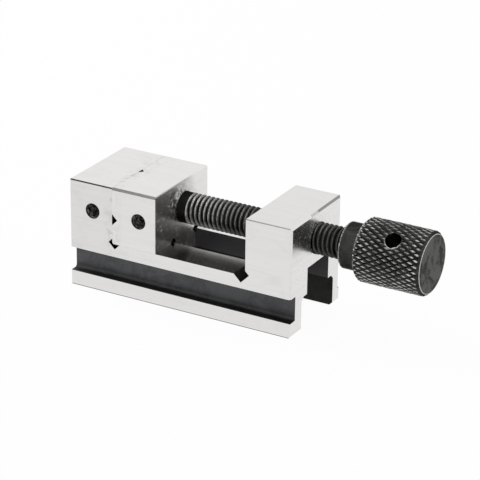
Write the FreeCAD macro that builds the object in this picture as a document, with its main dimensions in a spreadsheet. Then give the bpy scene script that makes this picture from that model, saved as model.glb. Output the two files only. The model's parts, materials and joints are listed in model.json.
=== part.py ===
import FreeCAD, Part
import Sketcher
import os

from FreeCAD import Placement, Rotation, Vector

# A small ground toolmaker's vise, in millimetres.
# X runs from the fixed jaw to the knurled head, Y from the near side to the far side, Z up.
# X = 0 is the clamping face of the fixed jaw, Y = 0 the middle of the width, Z = 0 the base.

DRIVING_SIZES = (
    ("body_width", 25.0, "width of the body and the jaws across Y"),
    ("bed_height", 13.4, "height of the ground bed over the base"),
    ("jaw_rise", 14.7, "height of the jaws and the screw block over the bed"),
    ("fixed_jaw_length", 12.1, "thickness of the fixed jaw along X"),
    ("opening", 37.2, "from the fixed jaw's face to the screw block"),
    ("block_length", 12.3, "thickness of the screw block along X"),
    ("mechanism_offset", 1.25, "slot and screw lie this far from the middle, towards the far side"),
    ("narrow_slot_width", 10.8, "width of the guide slot under the bed"),
    ("wide_slot_width", 16.2, "width of the slot's foot that holds the guide plate"),
    ("step_height", 8.4, "height of the ledge between wide and narrow slot"),
    ("roof_rise", 1.8, "the slot's roof in the screw block lies this far over the bed"),
    ("slot_start", 1.0, "where the slot begins, from the fixed jaw's face"),
    ("slot_end_fillet", 2.0, "radius in the upright corners at the slot's closed end"),
    ("ledge_bevel", 1.05, "bevel between the ledge and the wide slot's walls, and on the guide plate"),
    ("rail_height", 3.75, "height of the rail under the clamping groove"),
    ("groove_top", 10.0, "upper edge of the clamping groove"),
    ("near_groove_depth", 2.45, "depth of the clamping groove on the near side"),
    ("near_groove_fillet", 0.78, "fillet in the corners of the near groove"),
    ("far_groove_depth", 0.6, "depth of the shallow groove on the far side"),
    ("far_groove_fillet", 0.3, "fillet in the corners of the far groove"),
    ("jaw_relief_run", 2.05, "mouth of the relief at the fixed jaw's foot, along the bed"),
    ("block_relief_run", 3.1, "mouth of the relief at the screw block's foot, along the bed"),
    ("relief_rise", 1.4, "mouth of both reliefs up the jaw and up the block"),
    ("relief_sink", 0.36, "depth of both reliefs past the corner, along each face"),
    ("screw_rise", 7.6, "height of the screw's axis over the bed"),
    ("thread_radius", 3.95, "outer radius of the thread"),
    ("thread_clearance", 0.05, "gap between a thread and its bore"),
    ("nose_radius", 3.9, "radius of the screw's plain nose in the movable jaw"),
    ("nose_clearance", 0.1, "gap round the screw's nose"),
    ("nose_gap", 0.05, "gap between the nose's end and the bottom of its bore"),
    ("nose_depth", 8.6, "depth of the bore in the movable jaw"),
    ("nose_reach", 1.4, "plain nose that shows outside the movable jaw"),
    ("nose_chamfer", 0.5, "chamfer at the nose's end"),
    ("collar_gap", 7.7, "threaded stretch between the screw block and the collar"),
    ("collar_radius", 5.7, "radius of the smooth collar"),
    ("collar_length", 4.8, "length of the smooth collar"),
    ("collar_chamfer", 0.3, "chamfer at the collar's edge"),
    ("head_radius", 7.9, "radius of the knurled head over its points"),
    ("head_length", 17.3, "length of the knurled head"),
    ("head_chamfer", 0.7, "chamfer at both ends of the head"),
    ("knurl_count", 34, "points in one ring round the head"),
    ("knurl_lead", 2.6, "from one ring of points to the next like it; one ring lies halfway"),
    ("knurl_depth", 0.45, "height of the points over the grooves between them"),
    ("knurl_place", 9.625, "from the head's inner end to one ring of points"),
    ("knurl_turn", 2.65, "degrees from the far side up to one point of that ring"),
    ("bar_hole_radius", 2.0, "radius of the cross hole for a tommy bar"),
    ("bar_hole_place", 9.2, "from the head's inner end to the cross hole"),
    ("bar_hole_tilt", 38.0, "degrees by which the cross hole leans towards the near side"),
    ("jaw_length", 12.3, "thickness of the movable jaw along X"),
    ("level_vee_depth", 1.45, "depth of the level vee groove in the jaw's face"),
    ("upright_vee_depth", 1.05, "depth of the upright vee groove in the jaw's face"),
    ("level_vee_rise", 6.4, "height of the level vee groove over the bed"),
    ("upright_vee_offset", 0.6, "the upright vee groove lies this far from the middle"),
    ("tongue_start", 3.3, "from the jaw's face to the tongue"),
    ("tongue_clearance", 0.05, "gap between the tongue and each slot wall"),
    ("tongue_rise", 0.05, "the tongue ends this far under the ledge"),
    ("tongue_relief_leg", 1.3, "mouth of the relief beside the tongue, along each face"),
    ("tongue_relief_sink", 0.7, "depth of that relief past the corner, along each face"),
    ("plate_clearance", 0.1, "gap between the guide plate and each wall of the wide slot"),
    ("plate_end_gap", 1.9, "from the slot's closed end to the guide plate, jaws shut"),
    ("plate_thickness", 5.2, "thickness of the guide plate"),
    ("plate_chamfer", 0.4, "chamfer round the guide plate's lower edge"),
    ("guide_screw_radius", 2.0, "radius of the guide screw's thread"),
    ("guide_screw_length", 9.0, "length of the guide screw under its head"),
    ("guide_screw_clearance", 0.02, "gap round the guide screw in its tapped hole"),
    ("guide_screw_play", 0.2, "gap round the guide screw in the guide plate"),
    ("guide_screw_end_gap", 1.0, "space over the guide screw's end in its tapped hole"),
    ("guide_screw_head_radius", 3.5, "radius of the guide screw's head"),
    ("guide_screw_head_height", 2.8, "height of the guide screw's head"),
    ("guide_screw_key", 2.5, "size across flats of the guide screw's hexagon socket"),
    ("guide_screw_key_depth", 1.6, "depth of the hexagon socket"),
    ("counterbore_radius", 3.7, "radius of the counterbore in the guide plate"),
    ("counterbore_depth", 3.0, "depth of the counterbore in the guide plate"),
    ("pin_radius", 0.75, "radius of the two pins that hold the screw's nose"),
    ("pin_reach", 3.35, "the pins reach this far over the screw's axis"),
    ("pin_end_gap", 0.75, "space over the pins in their holes"),
    ("pin_chamfer", 0.15, "chamfer at the ends of the pins"),
    ("pin_clearance", 0.01, "gap round the pins in their holes"),
    ("pin_place", 5.7, "from the movable jaw's outer face back to the pins"),
    ("pin_groove_radius", 2.1, "radius at the bottom of the nose's pin groove"),
    ("pin_groove_gap", 0.05, "gap between the pins and the groove's bottom and sides"),
    ("side_hole_radius", 2.0, "radius of the tapped holes in the sides"),
    ("side_hole_depth", 6.5, "depth of the tapped holes in the sides"),
    ("side_hole_rise", 7.45, "height of the tapped holes over the bed"),
    ("fixed_side_hole_place", 5.6, "from the fixed jaw's face back to its tapped holes"),
    ("jaw_side_hole_place", 7.5, "from the movable jaw's face to its tapped holes"),
    ("edge_break", 0.2, "small chamfer on the ground edges"),
    ("jaw_top_break", 0.55, "chamfer on the movable jaw's upper near edge"),
    ("jaw_foot_break", 0.35, "chamfer on the movable jaw's lower edge at its clamping face"),
    ("block_end_break", 0.5, "chamfer on the screw block's outer edges"),
    ("near_foot_break", 0.35, "chamfer under the near rail at the screw end"),
    ("far_foot_break", 0.8, "chamfer under the far rail at the screw end"),
)

# Places and sizes that are worked out once and used by several pieces
TOP = "(sizes.bed_height + sizes.jaw_rise)"
SCREW_HEIGHT = "(sizes.bed_height + sizes.screw_rise)"
END_PLACE = "sizes.opening + sizes.block_length"
COLLAR_PLACE = END_PLACE + " + sizes.collar_gap"
HEAD_PLACE = COLLAR_PLACE + " + sizes.collar_length"
NOSE_END = "sizes.jaw_length - sizes.nose_depth + sizes.nose_gap"
NOSE_BORE_RADIUS = "(sizes.nose_radius + sizes.nose_clearance)"
TONGUE_BOTTOM = "sizes.step_height - sizes.tongue_rise"
TONGUE_HALF_WIDTH = "(sizes.narrow_slot_width / 2 - sizes.tongue_clearance)"
PLATE_BOTTOM = TONGUE_BOTTOM + " - sizes.plate_thickness"
GUIDE_SCREW_PLACE = "(sizes.tongue_start + sizes.jaw_length) / 2"
GUIDE_SCREW_SEAT = PLATE_BOTTOM + " + sizes.counterbore_depth"
PIN_PLACE = "(sizes.jaw_length - sizes.pin_place)"
PIN_LENGTH = "(%s + sizes.pin_reach - (%s))" % (SCREW_HEIGHT, TONGUE_BOTTOM)
PIN_OFFSET = "(sizes.pin_groove_radius + sizes.pin_groove_gap + sizes.pin_radius)"
PIN_HOLE_RADIUS = "(sizes.pin_radius + sizes.pin_clearance)"

doc = FreeCAD.newDocument("toolmakers_vise")
sheet = doc.addObject("Spreadsheet::Sheet", "sizes")


def fill_sheet():
    """Write every driving size into the sheet with its alias and meaning."""
    for row, (alias, number, meaning) in enumerate(DRIVING_SIZES, start=1):
        sheet.set("A%d" % row, meaning)
        sheet.set("B%d" % row, str(number))
        sheet.setAlias("B%d" % row, alias)
    doc.recompute()


def size(alias):
    """The number that the sheet holds under this alias."""
    return float(sheet.get(alias))


def new_piece(name):
    piece = doc.addObject("PartDesign::Body", name)
    piece.Label = name
    return piece


def plane_sketch(piece, name, plane, lift="0", across="0", up="0"):
    """A sketch on one of the piece's own planes, moved by lift along the plane's normal."""
    sketch = piece.newObject("Sketcher::SketchObject", name)
    for feature in piece.Origin.OriginFeatures:
        if feature.Role == plane:
            sketch.AttachmentSupport = (feature, [""])
    sketch.MapMode = "FlatFace"
    sketch.setExpression("AttachmentOffset.Base.x", across)
    sketch.setExpression("AttachmentOffset.Base.y", up)
    sketch.setExpression("AttachmentOffset.Base.z", lift)
    return sketch


def bind(sketch, kind, point, text):
    """Tie a point's distance from the sketch's origin along one axis to an expression."""
    if text == "0":
        axis = -2 if kind == "DistanceX" else -1
        sketch.addConstraint(Sketcher.Constraint("PointOnObject", point[0], point[1], axis))
        return
    index = sketch.addConstraint(Sketcher.Constraint(kind, -1, 1, point[0], point[1], 1.0))
    sketch.setExpression("Constraints[%d]" % index, text)


def draw_outline(sketch, corners):
    """A closed outline whose corners are pairs of expressions."""
    count = len(corners)
    start = [Vector(Rotation(Vector(0, 0, 1), 360.0 * i / count).multVec(Vector(5, 0, 0)))
             for i in range(count)]
    first = sketch.GeometryCount
    for i in range(count):
        sketch.addGeometry(Part.LineSegment(start[i], start[(i + 1) % count]), False)
    for i in range(count):
        sketch.addConstraint(
            Sketcher.Constraint("Coincident", first + i, 2, first + (i + 1) % count, 1))
    for i, (across, up) in enumerate(corners):
        bind(sketch, "DistanceX", (first + i, 1), across)
        bind(sketch, "DistanceY", (first + i, 1), up)


def draw_circle(sketch, across, up, radius):
    """A circle whose centre and radius are expressions."""
    index = sketch.addGeometry(Part.Circle(Vector(1, 1, 0), Vector(0, 0, 1), 1.0), False)
    bind(sketch, "DistanceX", (index, 3), across)
    bind(sketch, "DistanceY", (index, 3), up)
    ring = sketch.addConstraint(Sketcher.Constraint("Radius", index, 1.0))
    sketch.setExpression("Constraints[%d]" % ring, radius)


def rectangle(left, right, low, high):
    return ((left, low), (right, low), (right, high), (left, high))


def pad(piece, sketch, length, both_ways=False, towards_back=False):
    feature = piece.newObject("PartDesign::Pad", sketch.Name + "_pad")
    feature.Profile = sketch
    feature.setExpression("Length", length)
    feature.SideType = "Symmetric" if both_ways else "One side"
    feature.Reversed = towards_back
    doc.recompute()
    return feature


def cut(piece, sketch, length=None, both_ways=False, along_normal=False):
    """A pocket against the sketch's normal, or along it; with no length it goes right through."""
    before = piece.Shape.Volume
    feature = piece.newObject("PartDesign::Pocket", sketch.Name + "_cut")
    feature.Profile = sketch
    if length is None:
        feature.Type = "ThroughAll"
    else:
        feature.setExpression("Length", length)
    feature.SideType = "Symmetric" if both_ways else "One side"
    feature.Reversed = along_normal
    doc.recompute()
    if not piece.Shape.Volume < before:
        raise ValueError(sketch.Name + " removes nothing")
    return feature


def turn(piece, sketch, axis):
    """Revolve the sketch a full turn about its own horizontal or upright axis."""
    feature = piece.newObject("PartDesign::Revolution", sketch.Name + "_turn")
    feature.Profile = sketch
    feature.ReferenceAxis = (sketch, [axis])
    feature.Angle = 360.0
    doc.recompute()
    return feature


def edges_that(piece, test):
    """Names of the straight edges whose two ends and direction pass the test."""
    names = []
    for index, edge in enumerate(piece.Shape.Edges, start=1):
        if len(edge.Vertexes) == 2 and isinstance(edge.Curve, Part.Line):
            start, end = (vertex.Point for vertex in edge.Vertexes)
            if test(start, end):
                names.append("Edge%d" % index)
    if not names:
        raise ValueError("no edge to dress on " + piece.Name)
    return names


def dress(piece, kind, name, names, amount):
    """A chamfer or a fillet on the named edges of the piece as it stands."""
    base = piece.Tip
    feature = piece.newObject("PartDesign::" + kind, name)
    feature.Base = (base, names)
    feature.setExpression("Size" if kind == "Chamfer" else "Radius", amount)
    doc.recompute()
    return feature


def near(first, second, tolerance=0.01):
    return abs(first - second) < tolerance


def along_x(start, end):
    return near(start.y, end.y) and near(start.z, end.z)


def along_y(start, end):
    return near(start.x, end.x) and near(start.z, end.z)


def along_z(start, end):
    return near(start.x, end.x) and near(start.y, end.y)


def tap_side_holes(piece, name, place):
    """A blind tapped hole in each side, at its thread's outer radius."""
    for side, lift, inward in (("near", "sizes.body_width / 2", False),
                               ("far", "-sizes.body_width / 2", True)):
        sketch = plane_sketch(piece, "%s_%s_hole" % (name, side), "XZ_Plane", lift)
        draw_circle(sketch, place, "sizes.bed_height + sizes.side_hole_rise",
                    "sizes.side_hole_radius")
        cut(piece, sketch, "sizes.side_hole_depth", along_normal=inward)


def make_body():
    """Fixed jaw, bed and screw block, milled from one block of steel."""
    piece = new_piece("body")
    profile = plane_sketch(piece, "side_profile", "XZ_Plane")
    run, jaw_run = "sizes.block_relief_run", "sizes.jaw_relief_run"
    rise, sink = "sizes.relief_rise", "sizes.relief_sink"
    draw_outline(profile, (
        ("-sizes.fixed_jaw_length", "0"),
        (END_PLACE, "0"),
        (END_PLACE, TOP),
        ("sizes.opening", TOP),
        ("sizes.opening", "sizes.bed_height + " + rise),
        ("sizes.opening + %s + %s / 2" % (sink, rise), "sizes.bed_height - %s + %s / 2" % (sink, rise)),
        ("sizes.opening + %s - %s / 2" % (sink, run), "sizes.bed_height - %s - %s / 2" % (sink, run)),
        ("sizes.opening - " + run, "sizes.bed_height"),
        (jaw_run, "sizes.bed_height"),
        ("%s / 2 - %s" % (jaw_run, sink), "sizes.bed_height - %s - %s / 2" % (sink, jaw_run)),
        ("-%s / 2 - %s" % (rise, sink), "sizes.bed_height - %s + %s / 2" % (sink, rise)),
        ("0", "sizes.bed_height + " + rise),
        ("0", TOP),
        ("-sizes.fixed_jaw_length", TOP),
    ))
    pad(piece, profile, "sizes.body_width", both_ways=True)

    # The guide slot, an upside-down tee open at the screw end
    slot = plane_sketch(piece, "guide_slot", "YZ_Plane", "sizes.slot_start", "sizes.mechanism_offset")
    narrow, wide = "sizes.narrow_slot_width / 2", "sizes.wide_slot_width / 2"
    roof = "sizes.bed_height + sizes.roof_rise"
    bevel_top = wide + " - sizes.ledge_bevel"
    bevel_foot = "sizes.step_height - sizes.ledge_bevel"
    draw_outline(slot, (
        ("-" + wide, "0"),
        (wide, "0"),
        (wide, bevel_foot),
        (bevel_top, "sizes.step_height"),
        (narrow, "sizes.step_height"),
        (narrow, roof),
        ("-" + narrow, roof),
        ("-" + narrow, "sizes.step_height"),
        ("-(%s)" % bevel_top, "sizes.step_height"),
        ("-" + wide, bevel_foot),
    ))
    cut(piece, slot, along_normal=True)
    closed_end, middle = size("slot_start"), size("mechanism_offset")
    upright = edges_that(piece, lambda a, b: along_z(a, b) and near(a.x, closed_end)
                         and near(abs(a.y - middle), size("wide_slot_width") / 2))
    dress(piece, "Fillet", "slot_end_fillet", upright, "sizes.slot_end_fillet")

    # The clamping groove in each side, open at both ends
    for side, sign, depth, fillet in (("near", "-", "near_groove_depth", "near_groove_fillet"),
                                      ("far", "", "far_groove_depth", "far_groove_fillet")):
        face = sign + "sizes.body_width / 2"
        floor = "%s(sizes.body_width / 2 - sizes.%s)" % (sign, depth)
        groove = plane_sketch(piece, side + "_groove", "YZ_Plane")
        draw_outline(groove, rectangle(face, floor, "sizes.rail_height", "sizes.groove_top"))
        cut(piece, groove, both_ways=True)
        floor_place = (size("body_width") / 2 - size(depth)) * (-1 if sign else 1)
        corners = edges_that(piece, lambda a, b: along_x(a, b) and near(a.y, floor_place)
                             and size("rail_height") - 0.01 < a.z < size("groove_top") + 0.01)
        dress(piece, "Fillet", side + "_groove_fillet", corners, "sizes." + fillet)

    # The bore for the screw, at the outer radius of its thread
    bore = plane_sketch(piece, "screw_bore", "YZ_Plane", END_PLACE)
    draw_circle(bore, "sizes.mechanism_offset", SCREW_HEIGHT,
                "sizes.thread_radius + sizes.thread_clearance")
    cut(piece, bore, "sizes.block_length")

    tap_side_holes(piece, "fixed_jaw", "-sizes.fixed_side_hole_place")

    # The screw block's outer edges are broken wider than the other ground edges
    top, half = size("bed_height") + size("jaw_rise"), size("body_width") / 2
    end = size("opening") + size("block_length")
    outer = edges_that(piece, lambda a, b: near(a.x, end) and near(b.x, end)
                       and ((along_y(a, b) and near(a.z, top))
                            or (along_z(a, b) and near(abs(a.y), half) and max(a.z, b.z) > top - 0.01)))
    dress(piece, "Chamfer", "block_end_chamfer", outer, "sizes.block_end_break")
    near_foot = edges_that(piece, lambda a, b: along_y(a, b) and near(a.x, end) and near(a.z, 0)
                           and a.y < middle)
    dress(piece, "Chamfer", "near_foot_chamfer", near_foot, "sizes.near_foot_break")
    far_foot = edges_that(piece, lambda a, b: along_y(a, b) and near(a.x, end) and near(a.z, 0)
                          and a.y > middle)
    dress(piece, "Chamfer", "far_foot_chamfer", far_foot, "sizes.far_foot_break")
    back = -size("fixed_jaw_length")
    fine = edges_that(piece, lambda a, b: (along_x(a, b) and near(a.z, top) and near(abs(a.y), half))
                      or (along_y(a, b) and near(a.z, top) and near(a.x, back))
                      or (along_z(a, b) and near(a.x, back) and near(abs(a.y), half)))
    dress(piece, "Chamfer", "fine_chamfer", fine, "sizes.edge_break")
    return piece


def make_movable_jaw():
    """The sliding jaw with its vee grooves, its bore for the screw's nose and its tongue."""
    piece = new_piece("movable_jaw")
    block = plane_sketch(piece, "jaw_block", "XZ_Plane")
    draw_outline(block, rectangle("0", "sizes.jaw_length", "sizes.bed_height", TOP))
    pad(piece, block, "sizes.body_width", both_ways=True)
    tongue = plane_sketch(piece, "tongue", "XZ_Plane", "-sizes.mechanism_offset")
    draw_outline(tongue, rectangle("sizes.tongue_start", "sizes.jaw_length", TONGUE_BOTTOM,
                                   "sizes.bed_height"))
    pad(piece, tongue, "2 * " + TONGUE_HALF_WIDTH, both_ways=True)

    # A relief on each side of the tongue lets the underside be ground into the corner
    leg, sink = "sizes.tongue_relief_leg", "sizes.tongue_relief_sink"
    for side, sign in (("near", "-"), ("far", "")):
        relief = plane_sketch(piece, side + "_relief", "YZ_Plane", "sizes.jaw_length",
                              "sizes.mechanism_offset")
        draw_outline(relief, (
            ("%s(%s + %s)" % (sign, TONGUE_HALF_WIDTH, leg), "sizes.bed_height"),
            ("%s(%s - %s + %s / 2)" % (sign, TONGUE_HALF_WIDTH, sink, leg),
             "sizes.bed_height + %s + %s / 2" % (sink, leg)),
            ("%s(%s - %s - %s / 2)" % (sign, TONGUE_HALF_WIDTH, sink, leg),
             "sizes.bed_height + %s - %s / 2" % (sink, leg)),
            ("%s%s" % (sign, TONGUE_HALF_WIDTH), "sizes.bed_height - " + leg),
        ))
        cut(piece, relief)

    # One vee groove lies level and one stands upright in the clamping face
    level = plane_sketch(piece, "level_vee", "XZ_Plane")
    vee_height = "sizes.bed_height + sizes.level_vee_rise"
    draw_outline(level, (
        ("0", vee_height + " - sizes.level_vee_depth"),
        ("sizes.level_vee_depth", vee_height),
        ("0", vee_height + " + sizes.level_vee_depth"),
    ))
    cut(piece, level, both_ways=True)
    upright = plane_sketch(piece, "upright_vee", "XY_Plane")
    draw_outline(upright, (
        ("0", "sizes.upright_vee_offset - sizes.upright_vee_depth"),
        ("sizes.upright_vee_depth", "sizes.upright_vee_offset"),
        ("0", "sizes.upright_vee_offset + sizes.upright_vee_depth"),
    ))
    cut(piece, upright, both_ways=True)

    bore = plane_sketch(piece, "nose_bore", "YZ_Plane", "sizes.jaw_length")
    draw_circle(bore, "sizes.mechanism_offset", SCREW_HEIGHT, NOSE_BORE_RADIUS)
    cut(piece, bore, "sizes.nose_depth")

    # Holes from below: the guide screw in the tongue and the pins beside the screw's nose
    screw_hole = plane_sketch(piece, "guide_screw_hole", "XY_Plane", TONGUE_BOTTOM)
    draw_circle(screw_hole, GUIDE_SCREW_PLACE, "sizes.mechanism_offset",
                "sizes.guide_screw_radius + sizes.guide_screw_clearance")
    cut(piece, screw_hole, "sizes.counterbore_depth + sizes.guide_screw_length"
        " - sizes.plate_thickness + sizes.guide_screw_end_gap", along_normal=True)
    for side, sign in (("near", "-"), ("far", "+")):
        pin_hole = plane_sketch(piece, side + "_pin_hole", "XY_Plane", TONGUE_BOTTOM)
        draw_circle(pin_hole, PIN_PLACE, "sizes.mechanism_offset %s %s" % (sign, PIN_OFFSET),
                    PIN_HOLE_RADIUS)
        cut(piece, pin_hole, PIN_LENGTH + " + sizes.pin_end_gap", along_normal=True)

    tap_side_holes(piece, "movable_jaw", "sizes.jaw_side_hole_place")

    top, half = size("bed_height") + size("jaw_rise"), size("body_width") / 2
    length, bed = size("jaw_length"), size("bed_height")
    foot = edges_that(piece, lambda a, b: along_y(a, b) and near(a.z, bed) and near(a.x, 0))
    dress(piece, "Chamfer", "foot_chamfer", foot, "sizes.jaw_foot_break")
    upper = edges_that(piece, lambda a, b: along_x(a, b) and near(a.z, top) and near(a.y, -half))
    dress(piece, "Chamfer", "upper_near_chamfer", upper, "sizes.jaw_top_break")
    fine = edges_that(piece, lambda a, b: (along_x(a, b) and near(a.z, top) and near(a.y, half))
                      or (along_y(a, b) and near(a.z, top) and near(a.x, length))
                      or (along_z(a, b) and near(a.x, length) and near(a.y, half)))
    dress(piece, "Chamfer", "fine_chamfer", fine, "sizes.edge_break")
    return piece


def make_guide_plate():
    """The plate under the tongue that slides in the wide slot and holds the jaw down."""
    piece = new_piece("guide_plate")
    plate = plane_sketch(piece, "plate", "XY_Plane", PLATE_BOTTOM, "0", "sizes.mechanism_offset")
    half = "sizes.wide_slot_width / 2 - sizes.plate_clearance"
    draw_outline(plate, rectangle("sizes.slot_start + sizes.plate_end_gap", "sizes.jaw_length",
                                  "-(%s)" % half, half))
    pad(piece, plate, "sizes.plate_thickness")
    bottom = size("step_height") - size("tongue_rise") - size("plate_thickness")
    lower = edges_that(piece, lambda a, b: near(a.z, bottom) and near(b.z, bottom))
    dress(piece, "Chamfer", "lower_chamfer", lower, "sizes.plate_chamfer")
    top = bottom + size("plate_thickness")
    upper = edges_that(piece, lambda a, b: along_x(a, b) and near(a.z, top))
    dress(piece, "Chamfer", "upper_chamfer", upper, "sizes.ledge_bevel")
    play_radius = "sizes.guide_screw_radius + sizes.guide_screw_play"
    for name, radius, depth in (("clearance_hole", play_radius, None),
                                ("counterbore", "sizes.counterbore_radius", "sizes.counterbore_depth")):
        hole = plane_sketch(piece, name, "XY_Plane", PLATE_BOTTOM)
        draw_circle(hole, GUIDE_SCREW_PLACE, "sizes.mechanism_offset", radius)
        cut(piece, hole, depth, along_normal=True)
    return piece


def make_guide_screw():
    """A low-head socket screw that holds the guide plate to the tongue."""
    piece = new_piece("guide_screw")
    profile = plane_sketch(piece, "screw_profile", "XZ_Plane", "-sizes.mechanism_offset",
                           GUIDE_SCREW_PLACE, GUIDE_SCREW_SEAT)
    draw_outline(profile, (
        ("0", "-sizes.guide_screw_head_height"),
        ("sizes.guide_screw_head_radius - sizes.edge_break", "-sizes.guide_screw_head_height"),
        ("sizes.guide_screw_head_radius", "sizes.edge_break - sizes.guide_screw_head_height"),
        ("sizes.guide_screw_head_radius", "0"),
        ("sizes.guide_screw_radius", "0"),
        ("sizes.guide_screw_radius", "sizes.guide_screw_length - 2 * sizes.edge_break"),
        ("sizes.guide_screw_radius - 2 * sizes.edge_break", "sizes.guide_screw_length"),
        ("0", "sizes.guide_screw_length"),
    ))
    turn(piece, profile, "V_Axis")
    socket = plane_sketch(piece, "socket", "XY_Plane",
                          GUIDE_SCREW_SEAT + " - sizes.guide_screw_head_height",
                          GUIDE_SCREW_PLACE, "sizes.mechanism_offset")
    across = "sizes.guide_screw_key / 2 / cos(30deg)"
    draw_outline(socket, [("%s * cos(%ddeg)" % (across, 60 * i + 30),
                           "%s * sin(%ddeg)" % (across, 60 * i + 30)) for i in range(6)])
    cut(piece, socket, "sizes.guide_screw_key_depth", along_normal=True)
    return piece


def make_retaining_pin(name, sign):
    """A dowel pin that passes the groove of the screw's nose on one side."""
    piece = new_piece(name)
    profile = plane_sketch(piece, name + "_profile", "XZ_Plane",
                           "-(sizes.mechanism_offset %s %s)" % (sign, PIN_OFFSET),
                           PIN_PLACE, TONGUE_BOTTOM)
    chamfered = "sizes.pin_radius - sizes.pin_chamfer"
    draw_outline(profile, (
        ("0", "0"),
        (chamfered, "0"),
        ("sizes.pin_radius", "sizes.pin_chamfer"),
        ("sizes.pin_radius", PIN_LENGTH + " - sizes.pin_chamfer"),
        (chamfered, PIN_LENGTH),
        ("0", PIN_LENGTH),
    ))
    turn(piece, profile, "V_Axis")
    return piece


def make_knurled_rod():
    """A rod covered in rings of four-sided points, each ring half a step on from the last.

    It is longer than the head and starts at one ring of points, along its own X axis."""
    count = round(size("knurl_count"))
    ring_gap = size("knurl_lead") / 2
    first = -1 - int(size("knurl_place") / ring_gap)
    last = 1 + int((size("head_length") - size("knurl_place")) / ring_gap)
    tip = size("head_radius")
    groove = tip - size("knurl_depth")

    def corner(ring, step):
        """Tips and groove bottoms take turns along a ring and from one ring to the next."""
        radius = groove if (ring + step) % 2 else tip
        return Rotation(Vector(1, 0, 0), 180.0 * step / count).multVec(
            Vector(ring * ring_gap, radius, 0))

    def flat(*corners):
        return Part.Face(Part.makePolygon([*corners, corners[0]]))

    faces = []
    for ring in (first, last):
        faces.append(flat(*[corner(ring, step) for step in range(2 * count)]))
    for ring in range(first, last):
        for step in range(2 * count):
            cell = [corner(ring, step), corner(ring + 1, step), corner(ring + 1, step + 1),
                    corner(ring, step + 1)]
            # The cell folds along the line between its two groove bottoms
            if (ring + step) % 2:
                cell = cell[1:] + cell[:1]
            faces.append(flat(cell[0], cell[1], cell[3]))
            faces.append(flat(cell[1], cell[2], cell[3]))
    shell = Part.makeShell(faces)
    shell.sewShape()
    rod = doc.addObject("Part::Feature", "knurled_rod")
    rod.Shape = Part.makeSolid(shell)
    rod.setExpression("Placement.Base.x", HEAD_PLACE + " + sizes.knurl_place")
    rod.setExpression("Placement.Base.y", "sizes.mechanism_offset")
    rod.setExpression("Placement.Base.z", SCREW_HEIGHT)
    rod.Placement = Placement(Vector(0, 0, 0), Rotation(Vector(1, 0, 0), 1.0))
    rod.setExpression("Placement.Rotation.Angle", "sizes.knurl_turn")
    return rod


def make_head():
    """The head: a bevelled blank as far as the knurled rod fills it."""
    blank = new_piece("head_blank")
    profile = plane_sketch(blank, "head_profile", "XZ_Plane", "-sizes.mechanism_offset",
                           HEAD_PLACE, SCREW_HEIGHT)
    # The blank stands over the points by the depth of the knurl
    bevel = "(sizes.head_chamfer + sizes.knurl_depth)"
    rim = "sizes.head_radius - sizes.head_chamfer"
    wide = "sizes.head_radius + sizes.knurl_depth"
    draw_outline(profile, (
        ("0", "0"),
        ("0", rim),
        (bevel, wide),
        ("sizes.head_length - " + bevel, wide),
        ("sizes.head_length", rim),
        ("sizes.head_length", "0"),
    ))
    turn(blank, profile, "H_Axis")
    head = doc.addObject("Part::MultiCommon", "head")
    head.Shapes = [blank, make_knurled_rod()]
    doc.recompute()
    return head


def make_screw():
    """The screw as far as the head: grooved nose, thread over its crests, smooth collar."""
    screw = new_piece("screw")
    profile = plane_sketch(screw, "screw_profile", "XZ_Plane", "-sizes.mechanism_offset",
                           "0", SCREW_HEIGHT)
    groove_half = "(sizes.pin_radius + sizes.pin_groove_gap)"
    thread_start = "sizes.jaw_length + sizes.nose_reach"
    draw_outline(profile, (
        (NOSE_END, "0"),
        (NOSE_END, "sizes.nose_radius - sizes.nose_chamfer"),
        (NOSE_END + " + sizes.nose_chamfer", "sizes.nose_radius"),
        (PIN_PLACE + " - " + groove_half, "sizes.nose_radius"),
        (PIN_PLACE + " - " + groove_half, "sizes.pin_groove_radius"),
        (PIN_PLACE + " + " + groove_half, "sizes.pin_groove_radius"),
        (PIN_PLACE + " + " + groove_half, "sizes.nose_radius"),
        (thread_start, "sizes.nose_radius"),
        (thread_start, "sizes.thread_radius"),
        (COLLAR_PLACE, "sizes.thread_radius"),
        (COLLAR_PLACE, "sizes.collar_radius - sizes.collar_chamfer"),
        (COLLAR_PLACE + " + sizes.collar_chamfer", "sizes.collar_radius"),
        (HEAD_PLACE, "sizes.collar_radius"),
        (HEAD_PLACE, "0"),
    ))
    turn(screw, profile, "H_Axis")
    return screw


def make_spindle():
    """The screw and its knurled head in one piece, with the cross hole."""
    blank = doc.addObject("Part::MultiFuse", "spindle_blank")
    blank.Shapes = [make_screw(), make_head()]
    doc.recompute()
    piece = new_piece("spindle")
    piece.BaseFeature = blank
    doc.recompute()
    bar_hole = plane_sketch(piece, "bar_hole", "XY_Plane", SCREW_HEIGHT,
                            HEAD_PLACE + " + sizes.bar_hole_place", "sizes.mechanism_offset")
    bar_hole.AttachmentOffset = Placement(Vector(0, 0, 0), Rotation(Vector(1, 0, 0), 1.0))
    bar_hole.setExpression("AttachmentOffset.Rotation.Angle", "sizes.bar_hole_tilt")
    draw_circle(bar_hole, "0", "0", "sizes.bar_hole_radius")
    cut(piece, bar_hole, both_ways=True)
    return piece


def check(pieces):
    """Stop if any feature failed or any piece isn't one sound solid."""
    for item in doc.Objects:
        if "Invalid" in item.State or "Error" in item.State:
            raise ValueError("%s failed" % item.Name)
    for piece in pieces:
        shape = piece.Shape
        if shape.isNull() or not shape.isValid() or len(shape.Solids) != 1:
            raise ValueError("%s isn't one sound solid" % piece.Label)


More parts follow.
